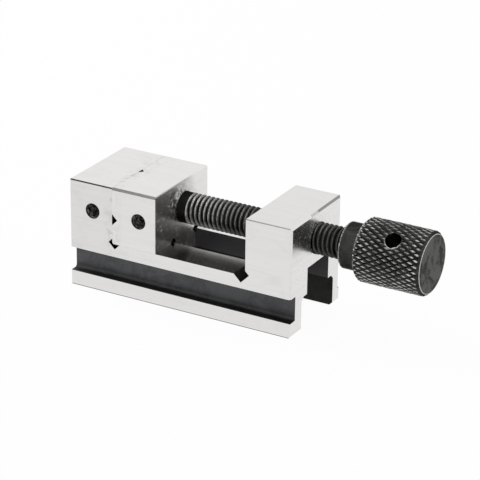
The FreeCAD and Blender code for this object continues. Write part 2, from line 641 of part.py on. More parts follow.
def write(pieces):
    os.makedirs("parts", exist_ok=True)
    for piece in pieces:
        piece.Shape.exportStep("parts/%s.step" % piece.Label)
        box = piece.Shape.BoundBox
        print("%-22s volume %9.2f  X %7.2f %7.2f  Y %7.2f %7.2f  Z %6.2f %6.2f" % (
            piece.Label, piece.Shape.Volume, box.XMin, box.XMax, box.YMin, box.YMax, box.ZMin,
            box.ZMax))


fill_sheet()
all_pieces = [
    make_body(),
    make_movable_jaw(),
    make_guide_plate(),
    make_guide_screw(),
    make_retaining_pin("retaining_pin_near", "-"),
    make_retaining_pin("retaining_pin_far", "+"),
    make_spindle(),
]
doc.recompute()
check(all_pieces)
write(all_pieces)
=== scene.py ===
import json
import math

import bmesh
import bpy
from bpy.props import FloatProperty, FloatVectorProperty, IntProperty, PointerProperty
from mathutils import Matrix, Vector


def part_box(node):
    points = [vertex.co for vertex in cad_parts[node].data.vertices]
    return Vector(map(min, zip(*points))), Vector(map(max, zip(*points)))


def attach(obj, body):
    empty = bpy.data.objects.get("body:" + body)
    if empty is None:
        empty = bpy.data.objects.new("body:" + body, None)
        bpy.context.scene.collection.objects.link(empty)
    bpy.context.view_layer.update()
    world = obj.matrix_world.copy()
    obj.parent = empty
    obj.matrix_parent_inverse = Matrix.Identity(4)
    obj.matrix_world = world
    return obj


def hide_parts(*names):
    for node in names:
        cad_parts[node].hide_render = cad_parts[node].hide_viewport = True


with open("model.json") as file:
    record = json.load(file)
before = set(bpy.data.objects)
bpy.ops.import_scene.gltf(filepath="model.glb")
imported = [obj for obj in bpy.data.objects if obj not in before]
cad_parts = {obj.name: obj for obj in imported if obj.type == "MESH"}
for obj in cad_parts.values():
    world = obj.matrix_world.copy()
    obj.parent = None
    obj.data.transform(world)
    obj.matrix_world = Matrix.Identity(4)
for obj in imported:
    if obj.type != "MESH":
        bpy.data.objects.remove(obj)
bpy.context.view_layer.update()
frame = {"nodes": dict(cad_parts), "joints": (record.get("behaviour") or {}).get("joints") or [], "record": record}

bl_info = {
    "name": "Toolmaker's vise",
    "version": (1, 0, 0),
    "blender": (4, 5, 0),
    "location": "3D View > Sidebar > Vise",
    "description": "Finishes a ground steel vise: its screw, its threads, its steel and the studio",
    "category": "Object",
}

MM = 0.001
DEGREE = math.pi / 180

# What the frame says
JOINTS = {joint["name"]: joint for joint in frame["joints"]}
MOUNTS = {mount["name"]: mount for mount in frame["record"]["mounts"]}
SCREW_AXIS = Vector(JOINTS["screw_turn"]["pos_m"])
_, AXIS_Y, AXIS_Z = SCREW_AXIS
SPINDLE_LOW, SPINDLE_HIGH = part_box("spindle")
BODY_LOW, BODY_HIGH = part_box("body")
JAW_LOW, JAW_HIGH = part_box("movable_jaw")
SIDE_HOLES = {
    "near_hole_fixed_jaw": "body",
    "far_hole_fixed_jaw": "body",
    "near_hole_movable_jaw": "jaw",
    "far_hole_movable_jaw": "jaw",
}

# Places and sizes of the part's own faces
BED = 13.4 * MM
BLOCK_FACE = 37.2 * MM
BLOCK_LENGTH = 12.3 * MM
SLOT_START = 1.0 * MM
SLOT_ROOF = 15.2 * MM
NECK_HALF = 5.4 * MM
FOOT_HALF = 8.1 * MM
LEDGE = 8.4 * MM
RAIL = 3.75 * MM
GROOVE_TOP = 10.0 * MM
NEAR_GROOVE_DEPTH = 2.45 * MM
FAR_GROOVE_DEPTH = 0.6 * MM
RELIEF_RISE = 1.4 * MM
JAW_RELIEF = 2.05 * MM
BLOCK_RELIEF = 3.1 * MM
EDGE_BREAK = 0.2 * MM
END_BREAK = 0.5 * MM
SCREW_BORE = 4.0 * MM
LEVEL_VEE = BED + 6.4 * MM
LEVEL_VEE_DEPTH = 1.45 * MM
UPRIGHT_VEE = 0.6 * MM
UPRIGHT_VEE_DEPTH = 1.05 * MM

# Edges that turn by more than this stay sharp
SHARP = 35 * DEGREE
# Points closer than this are one point, and a place counts as reached within it
WELD = 0.002 * MM
# A mask reaches this far past the faces that it covers and stays this far off the others
SLACK = 0.01 * MM


def length(name, millimetres, description):
    """A size in metres that is given in millimetres."""
    return FloatProperty(name=name, description=description, default=millimetres * MM,
                         unit='LENGTH', subtype='DISTANCE', precision=5)


def share(name, default, description):
    """A number from 0 to 1."""
    return FloatProperty(name=name, description=description, default=default, min=0.0, max=1.0,
                         subtype='FACTOR')


def angle(name, degrees, description):
    return FloatProperty(name=name, description=description, default=degrees * DEGREE,
                         unit='ROTATION', subtype='ANGLE')


def colour(name, default, description):
    return FloatVectorProperty(name=name, description=description, default=default, size=3,
                               min=0.0, max=1.0, subtype='COLOR')


def place(name, millimetres, description):
    return FloatVectorProperty(name=name, description=description, size=3, subtype='XYZ',
                               unit='LENGTH', default=[value * MM for value in millimetres])


class SpindleSizes(bpy.types.PropertyGroup):
    """Sizes of the screw with its collar and knurled head, along the X axis."""
    nose_radius: length("Nose radius", 3.9, "Radius of the plain nose in the movable jaw")
    nose_chamfer: length("Nose chamfer", 0.5, "Chamfer at the nose's end")
    pin_groove_place: length("Pin groove place", 6.6, "Where the groove for the two pins lies")
    pin_groove_width: length("Pin groove width", 1.6, "Width of the groove for the two pins")
    pin_groove_radius: length("Pin groove radius", 2.1, "Radius at the bottom of the pin groove")
    thread_start: length("Thread start", 14.75, "Where the thread runs in")
    thread_radius: length("Thread radius", 3.95, "Radius over the thread's crests")
    thread_depth: length("Thread depth", 0.72, "Height of the thread's ridges")
    thread_pitch: length("Thread pitch", 1.25, "Advance of the thread in one turn")
    thread_turn: angle("Thread turn", -155.0, "Turns the whole thread about its axis")
    collar_place: length("Collar place", 57.2, "Where the smooth collar begins")
    collar_radius: length("Collar radius", 5.7, "Radius of the smooth collar")
    collar_chamfer: length("Collar chamfer", 0.3, "Chamfer at the collar's edge")
    head_place: length("Head place", 62.0, "Where the knurled head begins")
    head_radius: length("Head radius", 7.88, "Radius over the knurl's peaks")
    head_chamfer: length("Head chamfer", 0.7, "Chamfer at both ends of the head")
    knurl_count: IntProperty(name="Knurl count", default=34, min=12, max=80,
                             description="Peaks in one ring round the head")
    knurl_lead: length("Knurl lead", 2.6, "From one ring of peaks to the next like it")
    knurl_ring: length("Knurl ring", 71.625, "Where one ring of peaks lies")
    knurl_turn: angle("Knurl turn", 2.65, "Angle of one peak of that ring")
    knurl_depth: length("Knurl depth", 0.38, "Depth of the knurl's grooves")
    knurl_flank: length("Knurl flank", 0.31, "Width of each groove's flank")
    knurl_squeeze: share("Knurl squeeze", 0.42, "How narrow each peak's top is round the head")
    knurl_lean: share("Knurl lean", 0.15, "How far each peak's top turns off the head's axis")
    knurl_round: length("Knurl rounding", 0.06, "Rounding of each peak's rim")
    bar_hole_flare: length("Bar hole flare", 0.22, "How far inside its mouth the hole widens")


class NutThreadSizes(bpy.types.PropertyGroup):
    """Sizes of the threads cut in the vise's own holes."""
    play: length("Play", 0.03, "Gap between the screw's thread and its nut thread")
    lead_in: length("Lead in", 2.1, "Plain bore before the nut thread, for the screw's nose")
    small_pitch: length("Small pitch", 0.7, "Pitch of the tapped side holes")
    small_depth: length("Small depth", 0.36, "Height of the side holes' thread")
    skin: length("Skin", 0.02, "The threads keep this far off the hole's wall")


class SteelFinish(bpy.types.PropertyGroup):
    """Colours and grain of the ground steel."""
    bright: colour("Bright", (0.785, 0.78, 0.768), "Ground steel where it is brightest")
    dull: colour("Dull", (0.70, 0.69, 0.675), "Ground steel in its grinding marks")
    stain: colour("Stain", (0.50, 0.49, 0.48), "Thin oil stains and finger marks")
    scuff: colour("Scuff", (0.86, 0.85, 0.83), "Bright scuffs on the faces across the screw")
    # Painted shade: steel darkened as if it reflected something dark, on the bed's near strip and the jaw's face
    reflection_shade: colour("Film", (0.27, 0.265, 0.25), "Steel under an oil film")
    hard_bright: colour("Hardened bright", (0.40, 0.40, 0.41), "Hidden steel between its marks")
    hard_dull: colour("Hardened dull", (0.27, 0.27, 0.28), "Hidden steel in its turning marks")
    marks: share("Marks", 0.24, "How much the grinding marks dull the steel")
    bands: share("Bands", 0.16, "How much broad bands of marks dull the steel")
    stains: share("Stains", 0.16, "How much broad stains darken the steel")
    dots: share("Dots", 0.12, "How much small dots darken the steel")
    smudges: share("Smudges", 0.95, "How much the dirt beside the seam darkens the steel")
    haze: share("Haze", 0.06, "Thin stain that lies everywhere")
    gloss: share("Gloss roughness", 0.19, "Roughness between the grinding marks")
    grain: share("Grain roughness", 0.08, "Roughness that the grinding marks add")
    end_grain: share("End grain roughness", 0.16, "Roughness that the faces across the screw add")
    scuff_grain: share("Scuff roughness", 0.35, "Roughness that the scuffs add")
    mark_width: length("Mark width", 0.30, "Width of one grinding mark")
    mark_length: length("Mark length", 14.0, "Length of one grinding mark")


class OxideFinish(bpy.types.PropertyGroup):
    """Colours of the blackened steel."""
    dark: colour("Dark", (0.018, 0.018, 0.017), "Deepest black of the oxide")
    light: colour("Light", (0.062, 0.062, 0.058), "Greyest parts of the oxide")
    # Oxide with painted light: lighter high in the grooves and in the slot's neck
    lit_oxide: colour("Thin", (0.130, 0.131, 0.138), "Thin oxide on flat ground faces")
    end: colour("End", (0.152, 0.151, 0.147), "Oxide on the head's end face")
    worn: colour("Worn", (0.76, 0.75, 0.72), "Bare steel where the oxide is worn off")
    matt: share("Roughness", 0.36, "Roughness of the oxide on the screw")
    groove_matt: share("Groove roughness", 0.52, "Roughness of the oxide in grooves and slots")
    hole_matt: share("Hole roughness", 0.5, "Roughness of the oxide in the tapped holes")
    patch_grain: share("Patch roughness", 0.12, "Roughness that the greyer patches add")
    screw_rim: share("Screw's edge gloss", 0.45, "Light left where the screw is seen edge on")
    hole_rim: share("Holes' edge gloss", 0.05, "Light left where a hole's wall is seen edge on")
    # Painted shade: the tapped holes' black is darkened as if their depth shaded it
    hole_shade: share("Hole shade", 0.3, "How light the holes' black is, against the screw's")


class StudioSettings(bpy.types.PropertyGroup):
    """Camera, lamps, card and floor."""
    target: place("Target", (27.38, 2.37, 15.03), "Point that the camera looks at")
    azimuth: angle("Azimuth", 29.228, "Camera's direction round the vise")
    elevation: angle("Elevation", 23.503, "Camera's height over the horizon")
    roll: angle("Roll", 0.767, "Camera's turn about its own axis")
    distance: length("Distance", 563.83, "From the target to the camera")
    lens: FloatProperty(name="Lens", default=173.56, unit='CAMERA', description="Focal length")
    key_spot: place("Key lamp spot", (-520, 20, 340), "Where the large lamp on the left hangs")
    key_watts: FloatProperty(name="Key lamp power", default=1.8, unit='POWER',
                             description="Power of the large lamp on the left")
    back_spot: place("Back lamp spot", (620, 200, 300), "Where the lamp behind the head hangs")
    back_watts: FloatProperty(name="Back lamp power", default=0.9, unit='POWER',
                              description="Power of the lamp behind the head")
    lamp_size: length("Lamp size", 300.0, "Side of each square lamp")
    card_spot: place("Card spot", (-332.62, -177.18, 375.03), "Where the dark card hangs")
    card_size: length("Card size", 320.0, "Side of the dark card")
    card_colour: colour("Card colour", (0.30, 0.30, 0.30), "Dark card")
    floor_size: length("Floor size", 4000.0, "Side of the square floor")
    floor_colour: colour("Floor colour", (0.92, 0.92, 0.92), "Pale floor")
    floor_glow: share("Floor glow", 0.96, "Share of the floor's white that no shadow takes away")
    air_level: share("Air level", 0.55, "Strength of the world's light on matt surfaces")


def turned(verts, x, radius):
    """Put these points at one place along the X axis and one radius round it."""
    for vert in verts:
        away = Vector((0, vert.co.y, vert.co.z)).normalized()
        vert.co = away * radius + Vector((x, 0, 0))


def open_edges(bm, x):
    """Open edges that lie at this place along the X axis."""
    return [edge for edge in bm.edges if edge.is_boundary
            and all(abs(vert.co.x - x) < WELD for vert in edge.verts)]


def draw_ring(bm, ring, stations):
    """Draw an open ring of edges through (place, radius) stations and return the last ring."""
    for x, radius in stations:
        made = bmesh.ops.extrude_edge_only(bm, edges=ring)["geom"]
        points = {item for item in made if isinstance(item, bmesh.types.BMVert)}
        ring = [item for item in made if isinstance(item, bmesh.types.BMEdge)
                and set(item.verts) <= points]
        turned(points, x, radius)
    return ring


def first_ring(bm, count, x, radius, turn=0.0):
    """A ring of edges round the X axis."""
    upright = Matrix.Rotation(turn, 4, 'X') @ Matrix.Rotation(math.pi / 2, 4, 'Y')
    verts = bmesh.ops.create_circle(bm, cap_ends=False, segments=count, radius=radius,
                                    matrix=upright)["verts"]
    turned(verts, x, radius)
    return list({edge for vert in verts for edge in vert.link_edges})


def ease(value):
    """A smooth rise from 0 to 1."""
    value = min(max(value, 0.0), 1.0)
    return value * value * (3 - 2 * value)


def wind_thread(bm, start, end, pitch, profile, plain_radius, run_out, turn=0.0, steps=48):
    """Wind a profile round the X axis. The thread fades into plain open rings at both ends.

    profile holds pairs of a share of the pitch and a radius."""
    first = start - pitch
    spiral_start = Matrix.Rotation(turn, 4, 'X')
    verts = [bm.verts.new(spiral_start @ Vector((first + pitch * part, 0, radius)))
             for part, radius in profile]
    edges = [bm.edges.new(pair) for pair in zip(verts, verts[1:])]
    turns = math.ceil((end - first) / pitch)
    bmesh.ops.spin(bm, geom=verts + edges, cent=(0, 0, 0), axis=(1, 0, 0),
                   dvec=(pitch / steps, 0, 0), angle=2 * math.pi * turns, steps=steps * turns,
                   use_merge=False, use_normal_flip=False, use_duplicate=False)
    for vert in bm.verts:
        x = vert.co.x
        depth = ease((x - start) / run_out) * ease((end - x) / run_out)
        radius = plain_radius + (math.hypot(vert.co.y, vert.co.z) - plain_radius) * depth
        turned([vert], min(max(x, start), end), radius)
    bmesh.ops.remove_doubles(bm, verts=bm.verts, dist=WELD)


def thread_profile(crest, root):
    """One pitch of a thread with flat crests and roots and rounded shoulders."""
    shoulder = crest + (root - crest) * 0.08
    return ((0.0, root), (0.12, root), (0.40, shoulder), (0.45, crest), (0.55, crest),
            (0.60, shoulder), (0.88, root), (1.0, root))


def finish_piece(bm, name, matrix):
    """Make the bmesh an object at the origin, its place in its mesh, its faces outwards."""
    bmesh.ops.transform(bm, matrix=matrix, verts=bm.verts)
    bmesh.ops.recalc_face_normals(bm, faces=bm.faces)
    mesh = bpy.data.meshes.new(name)
    bm.to_mesh(mesh)
    bm.free()
    mesh.shade_smooth()
    mesh.set_sharp_from_angle(angle=SHARP)
    piece = bpy.data.objects.new(name, mesh)
    bpy.context.scene.collection.objects.link(piece)
    return piece


def make_knurled_head(bm, sizes):
    """Add the head: diamonds between crossed grooves, cut off at a chamfer at each end.

    A tube of squares is poked, and without its old edges it is a net of diamonds. Each diamond
    is then inset and raised."""
    head = bmesh.new()
    valley = sizes.head_radius - sizes.knurl_depth
    half_step = math.pi / sizes.knurl_count
    end = SPINDLE_HIGH.x
    before = math.ceil((sizes.knurl_ring - sizes.head_place) / sizes.knurl_lead)
    rows = before + math.ceil((end - sizes.knurl_ring) / sizes.knurl_lead)
    places = [sizes.knurl_ring + (row - before) * sizes.knurl_lead for row in range(rows + 1)]
    ring = first_ring(head, sizes.knurl_count, places[0], valley, sizes.knurl_turn - half_step)
    draw_ring(head, ring, [(x, valley) for x in places[1:]])
    old_edges = [edge for edge in head.edges if not edge.is_boundary]
    bmesh.ops.poke(head, faces=head.faces[:])
    bmesh.ops.dissolve_edges(head, edges=old_edges, use_verts=False)
    for vert in head.verts:
        turned([vert], vert.co.x, valley)
    bmesh.ops.recalc_face_normals(head, faces=head.faces)
    side = head.faces[0]
    if side.normal.dot(Vector((0, *side.calc_center_median().yz))) < 0:
        bmesh.ops.reverse_faces(head, faces=head.faces)

    diamonds = head.faces[:]
    bmesh.ops.inset_individual(head, faces=diamonds, thickness=sizes.knurl_flank,
                               use_even_offset=True)
    for face in diamonds:
        middle = face.calc_center_median()
        outwards = Vector((0, *middle.yz)).normalized()
        sideways = Vector((1, 0, 0)).cross(outwards)
        for vert in face.verts:
            offset = vert.co - middle
            across = offset.dot(sideways) * sizes.knurl_squeeze + offset.x * sizes.knurl_lean
            vert.co.yz = (middle + sideways * across).yz
            turned([vert], vert.co.x, sizes.head_radius - sizes.knurl_round / 2)
    bmesh.ops.inset_individual(head, faces=diamonds, thickness=sizes.knurl_round,
                               use_even_offset=True)
    for vert in {vert for face in diamonds for vert in face.verts}:
        turned([vert], vert.co.x, sizes.head_radius)

    low_cut = sizes.head_place + sizes.head_chamfer
    high_cut = end - sizes.head_chamfer
    for cut, lower in ((low_cut, True), (high_cut, False)):
        bmesh.ops.bisect_plane(head, geom=head.verts[:] + head.edges[:] + head.faces[:],
                               dist=WELD / 10, plane_co=(cut, 0, 0), plane_no=(1, 0, 0),
                               clear_inner=lower, clear_outer=not lower)
    rim = sizes.head_radius - sizes.head_chamfer
    draw_ring(head, open_edges(head, low_cut), [(sizes.head_place, rim)])
    last = draw_ring(head, open_edges(head, high_cut), [(end, rim), (end, rim * 0.96)])
    bmesh.ops.edgeloop_fill(head, edges=last)
    part = bpy.data.meshes.new("head_part")
    head.to_mesh(part)
    head.free()
    bm.from_mesh(part)
    bpy.data.meshes.remove(part)


def make_bar_hole_cutter(sizes, matrix):
    """A rod that widens a little where it leaves the head on both sides."""
    bm = bmesh.new()
    radius = MOUNTS["tommy_bar_hole"]["dims"]["r_mm"] * MM
    inner = sizes.head_radius - sizes.bar_hole_flare
    outer = sizes.head_radius + 2 * sizes.head_chamfer
    wide = radius + outer - inner
    ring = first_ring(bm, 48, -outer, wide)
    last = draw_ring(bm, ring, [(-inner, radius), (inner, radius), (outer, wide)])
    bmesh.ops.edgeloop_fill(bm, edges=ring)
    bmesh.ops.edgeloop_fill(bm, edges=last)
    return finish_piece(bm, "bar_hole_cutter", matrix)


def cut_away(piece, cutter):
    """Take the cutter's shape out of the piece and remove the cutter."""
    modifier = piece.modifiers.new("cut", 'BOOLEAN')
    modifier.operation = 'DIFFERENCE'
    modifier.solver = 'EXACT'
    modifier.object = cutter
    depsgraph = bpy.context.evaluated_depsgraph_get()
    mesh = bpy.data.meshes.new_from_object(piece.evaluated_get(depsgraph))
    piece.modifiers.clear()
    piece.data = mesh
    bpy.data.objects.remove(cutter)


def feed(node, inputs):
    """Link a node's inputs to sockets, or set them to plain values."""
    for name, value in inputs.items():
        value = getattr(value, "socket", value)
        if isinstance(value, bpy.types.NodeSocket):
            node.id_data.links.new(value, node.inputs[name])
        else:
            node.inputs[name].default_value = value


def add_node(tree, kind, inputs, **settings):
    """A shader node with its settings made and its inputs fed."""
    node = tree.nodes.new(kind)
    for name, value in settings.items():
        setattr(node, name, value)
    feed(node, inputs)
    return node


def value_from(tree, kind, inputs, output=0, **settings):
    """One output of a new node."""
    return Value(add_node(tree, kind, inputs, **settings).outputs[output])


class Value:
    """A shader socket that arithmetic works on. Each step adds a node."""

    def __init__(self, socket):
        self.socket = socket
        self.tree = socket.id_data

    def step(self, operation, other=0.0):
        return value_from(self.tree, 'ShaderNodeMath', {0: self, 1: other}, operation=operation)

    def __add__(self, other):
        return self.step('ADD', other)

    def __sub__(self, other):
        return self.step('SUBTRACT', other)

    def __mul__(self, other):
        return self.step('MULTIPLY', other)

    def __rtruediv__(self, other):
        return value_from(self.tree, 'ShaderNodeMath', {0: other, 1: self}, operation='DIVIDE')

    def __gt__(self, other):
        return self.step('GREATER_THAN', other)

    def __lt__(self, other):
        return self.step('LESS_THAN', other)

    def __abs__(self):
        return self.step('ABSOLUTE')

    def rescale(self, low, high, to_low=0.0, to_high=1.0):
        """Stretch low..high to another range, smoothly and clamped."""
        return value_from(self.tree, 'ShaderNodeMapRange', {
            0: self, 1: low, 2: high, 3: to_low, 4: to_high}, interpolation_type='SMOOTHSTEP')


def most(first, *others):
    """The largest of these values."""
    for other in others:
        first = first.step('MAXIMUM', other)
    return first


def vector_step(operation, first, second=(0, 0, 0)):
    return value_from(first.tree, 'ShaderNodeVectorMath', {0: first, 1: second},
                      "Value" if operation == 'LENGTH' else "Vector", operation=operation)


def split(vector):
    """The X, Y and Z parts of a vector."""
    node = add_node(vector.tree, 'ShaderNodeSeparateXYZ', {0: vector})
    return [Value(socket) for socket in node.outputs]


def blend_colours(factor, *colours):
    """A mix of two colours."""
    first, second = [part if isinstance(part, Value) else (*part, 1.0) for part in colours]
    return value_from(factor.tree, 'ShaderNodeMix', {0: factor, 6: first, 7: second}, 2,
                      data_type='RGBA')


def blend_values(factor, first, second):
    """A mix of two numbers."""
    return value_from(factor.tree, 'ShaderNodeMix', {0: factor, 2: first, 3: second},
                      data_type='FLOAT')


def new_group(name, inputs, outputs):
    """An empty shader group that reads a position, its given values and its results' node."""
    tree = bpy.data.node_groups.new(name, 'ShaderNodeTree')
    inputs = {"Position": 'Vector', **inputs}
    for label, kind in inputs.items():
        tree.interface.new_socket(name=label, in_out='INPUT', socket_type='NodeSocket' + kind)
    for label in outputs:
        tree.interface.new_socket(name=label, in_out='OUTPUT', socket_type='NodeSocketFloat')
    given = tree.nodes.new('NodeGroupInput').outputs
    return tree, {label: Value(given[label]) for label in inputs}, tree.nodes.new('NodeGroupOutput')


def use_group(name, position, **inputs):
    """The outputs of a shader group, placed in a material with its own values."""
    node = add_node(position.tree, 'ShaderNodeGroup', {}, node_tree=bpy.data.node_groups[name])
    feed(node, {"Position": position, **inputs})
    return [Value(socket) for socket in node.outputs]


def build_box_group():
    """Group: 1 where a point lies between two corners."""
    _, given, result = new_group("Marked-off box", {"Low": 'Vector', "High": 'Vector'}, ["Inside"])
    over = vector_step('SUBTRACT', given["Position"], given["Low"])
    under = vector_step('SUBTRACT', given["High"], given["Position"])
    x, y, z = split(vector_step('MINIMUM', over, under))
    feed(result, {"Inside": x.step('MINIMUM', y).step('MINIMUM', z) > 0.0})


def build_tube_group():
    """Group: 1 where a point lies within a radius of an axis; Across is 0 along that axis."""
    _, given, result = new_group("Marked-off tube", {
        "Centre": 'Vector', "Across": 'Vector', "Radius": 'Float'}, ["Inside", "Distance"])
    away = vector_step('SUBTRACT', given["Position"], given["Centre"])
    distance = vector_step('LENGTH', vector_step('MULTIPLY', away, given["Across"]))
    feed(result, {"Inside": distance < given["Radius"], "Distance": distance})


def noise_at(place, scale, detail, roughness=0.5, distortion=0.0):
    return value_from(place.tree, 'ShaderNodeTexNoise', {
        "Vector": place, "Scale": scale, "Detail": detail, "Roughness": roughness,
        "Distortion": distortion})


def build_grinding_group():
    """Group: fine marks along X, or along Y on faces that look along X."""
    tree, given, result = new_group("Grinding marks", {
        "Normal": 'Vector', "Width": 'Float', "Length": 'Float'}, ["Marks", "Bands", "Endwise"])
    across, along = 1.0 / given["Width"], 1.0 / given["Length"]
    endwise = abs(split(given["Normal"])[0]) > 0.7
    scales = [value_from(tree, 'ShaderNodeCombineXYZ', dict(enumerate(parts)))
              for parts in ((along, across, across), (across, along, across))]
    scale = value_from(tree, 'ShaderNodeMix', {0: endwise, 4: scales[0], 5: scales[1]}, 1,
                       data_type='VECTOR')
    stretched = vector_step('MULTIPLY', given["Position"], scale)
    feed(result, {"Marks": noise_at(stretched, 1.0, 3.0, 0.65).rescale(0.32, 0.70),
                  "Bands": noise_at(stretched, 0.22, 2.0).rescale(0.35, 0.68),
                  "Endwise": endwise})


def build_scuff_group():
    """Group: short strokes that lean from the Y axis towards Z."""
    tree, given, result = new_group("Scuffs", dict.fromkeys(
        ("Lean", "Width", "Length", "Least", "Most"), 'Float'), ["Strokes"])
    level = value_from(tree, 'ShaderNodeVectorRotate', {
        "Vector": given["Position"], "Angle": given["Lean"]}, rotation_type='X_AXIS')
    across, along = 1.0 / given["Width"], 1.0 / given["Length"]
    scale = value_from(tree, 'ShaderNodeCombineXYZ', {0: across, 1: along, 2: across})
    noise = noise_at(vector_step('MULTIPLY', level, scale), 1.0, 2.0)
    feed(result, {"Strokes": noise.rescale(given["Least"], given["Most"])})


def build_blotch_group():
    """Group: soft patches of one size, such as oil stains or uneven oxide."""
    _, given, result = new_group("Blotches", dict.fromkeys(("Size", "Least", "Most"), 'Float'),
                                 ["Patch"])
    noise = noise_at(given["Position"], 1.0 / given["Size"], 4.0, 0.6, 0.8)
    feed(result, {"Patch": noise.rescale(given["Least"], given["Most"])})


def blotches(position, size, low, high):
    """The mask of soft patches. Noise under low is bare, and over high it is full."""
    return use_group("Blotches", position, Size=size, Least=low, Most=high)[0]


def marked_off(position, low, high):
    """The mask of what lies between two corners."""
    return use_group("Marked-off box", position, Low=low, High=high)[0]


def off_screw(position):
    """The distance from the screw's axis."""
    return use_group("Marked-off tube", position, Centre=SCREW_AXIS, Across=(0, 1, 1))[1]


def bare_material(name):
    """A material without nodes."""
    material = bpy.data.materials.new(name)
    material.use_nodes = True
    material.node_tree.nodes.clear()
    return material, material.node_tree


def new_metal(name):
    """A material, its metal shader, and the position and normal that its nodes read."""
    material, tree = bare_material(name)
    shader = add_node(tree, 'ShaderNodeBsdfPrincipled', {"Metallic": 1.0})
    add_node(tree, 'ShaderNodeOutputMaterial', {"Surface": shader.outputs[0]})
    where = tree.nodes.new('ShaderNodeTexCoord').outputs
    return material, shader, Value(where["Object"]), Value(where["Normal"])


def fine_relief(height, strength):
    """A normal for a shader with this height in hundredths of a millimetre."""
    return value_from(height.tree, 'ShaderNodeBump', {
        "Strength": strength, "Distance": 0.01 * MM, "Height": height})


def oxide_patches(position):
    """The mask of the oxide's greyer patches."""
    return (blotches(position, 4.5 * MM, 0.34, 0.68) * 0.65
            + blotches(position, 0.5 * MM, 0.3, 0.75) * 0.35)


def make_ground_steel(name, zones, tubes, edges, reflection_shade, scuffed, oxide_light_and_shade=None):
    """Ground steel whose marked-off grooves, slots and bores are black.

    zones holds pairs of corners. tubes holds centre, across, radius, low and high corner. edges
    holds corners and how dark the edge between them is: dark seams, and painted shade on edges
    and whole faces. The next argument, given the position and the mask of the faces across the
    screw, returns the mask of painted shade, steel darkened as if it reflected something dark.
    scuffed is how much those faces are scuffed. The last argument, given the position and the
    oxide's patches, returns the mask of lighter oxide, with painted light and shade in it."""
    steel, oxide = bpy.context.scene.vise_steel, bpy.context.scene.vise_oxide
    material, shader, position, normal = new_metal(name)
    along, _, height = split(position)
    marks, bands, endwise = use_group("Grinding marks", position, Normal=normal,
                                      Width=steel.mark_width, Length=steel.mark_length)
    marked = marks * steel.marks + bands * steel.bands
    bare = blend_colours(marked, steel.bright, steel.dull)

    stains = blotches(position, 7 * MM, 0.5, 0.78)
    dots = blotches(position, 1.1 * MM, 0.62, 0.8)
    rubbed_in = blotches(position, 2.2 * MM, 0.45, 0.7) * 0.55
    smudges = (abs(along).rescale(0.2 * MM, 3.5 * MM, 1.0, 0.0) * most(dots, rubbed_in)
               * height.rescale(GROOVE_TOP - MM, GROOVE_TOP + 0.5 * MM))
    dirt = stains * steel.stains + smudges * steel.smudges + dots * steel.dots + steel.haze
    bare = blend_colours(dirt, bare, steel.stain)
    # Painted shade where the face would reflect something dark, broken up by the stains
    reflection_shade_mask = reflection_shade(position, endwise) * stains.rescale(0.0, 1.0, 1.0, 0.7)
    bare = blend_colours(reflection_shade_mask, bare, steel.reflection_shade)

    strokes = use_group("Scuffs", position, Lean=-25 * DEGREE, Width=0.30 * MM,
                        Length=1.8 * MM, Least=0.62, Most=0.69)[0]
    spots = (blotches(position, 0.8 * MM, 0.47, 0.56)
             * off_screw(position).rescale(5.5 * MM, 7.5 * MM, 1.0, 0.0)
             * height.rescale(AXIS_Z, AXIS_Z + 4 * MM, 0.2, 1.0))
    scuffs = most(strokes, spots) * endwise * scuffed
    bare = blend_colours(scuffs, bare, steel.scuff)
    # Dark seams, and painted shade on edges and whole faces, in the oxide's grey
    seams_and_edge_shade = most(*[marked_off(position, low, high) * strength for low, high, strength in edges])
    bare = blend_colours(seams_and_edge_shade * dots.rescale(0.0, 1.0, 1.0, 0.75), bare, oxide.light)

    masks = [marked_off(position, *zone) for zone in zones]
    for centre, across, radius, low, high in tubes:
        inside = use_group("Marked-off tube", position, Centre=centre, Across=across,
                           Radius=radius)[0]
        masks.append(inside * marked_off(position, low, high))
    black = most(*masks)
    patch = oxide_patches(position)
    skin = blend_colours(patch * 0.4, oxide.dark, oxide.light)
    # Lighter oxide in the grooves and the slot, with painted light and shade
    if oxide_light_and_shade:
        skin = blend_colours(oxide_light_and_shade(position, patch), skin, oxide.lit_oxide)

    # Light that scatters in the scuffs keeps them pale where the face reflects something dark
    metal = scuffs * -0.8 + 1.0
    bare_roughness = (marked * steel.grain + steel.gloss + endwise * (steel.end_grain * scuffed)
                      + scuffs * steel.scuff_grain)
    skin_roughness = patch * oxide.patch_grain + oxide.groove_matt
    feed(shader, {"Base Color": blend_colours(black, bare, skin),
                  "Roughness": blend_values(black, bare_roughness, skin_roughness),
                  "Metallic": blend_values(black, metal, 1.0),
                  "Normal": fine_relief(marks * 0.5 + scuffs, 0.25)})
    return material


def make_black_steel(name, wear_and_glint, matt, shade, rim_gloss):
    """Blackened steel with this roughness. The second argument, given position and normal, returns the
    masks of bare steel with painted highlights, of pale oxide and of the places where the oxide may
    be grey. shade darkens the black, as painted shade in the holes, and rim_gloss is how much light is left where
    a face is seen edge on."""
    oxide = bpy.context.scene.vise_oxide
    material, shader, position, normal = new_metal(name)
    patch = oxide_patches(position)
    # The bare steel mask holds worn steel and painted highlights
    bare, pale, grey = wear_and_glint(position, normal)
    # shade darkens the black here: painted shade in the holes
    skin = blend_colours(patch * grey, [part * shade for part in oxide.dark], oxide.light)
    skin = blend_colours(patch.rescale(0.25, 0.6, 0.3, 0.9) * pale, skin, oxide.end)
    roughness = patch * oxide.patch_grain + matt
    feed(shader, {"Specular Tint": (rim_gloss, rim_gloss, rim_gloss, 1),
                  "Base Color": blend_colours(bare, skin, oxide.worn),
                  "Roughness": blend_values(bare, roughness, 0.3),
                  "Metallic": bare * -0.5 + 1.0,
                  "Normal": fine_relief(noise_at(position, 2500.0, 2.0), 0.3)})
    return material


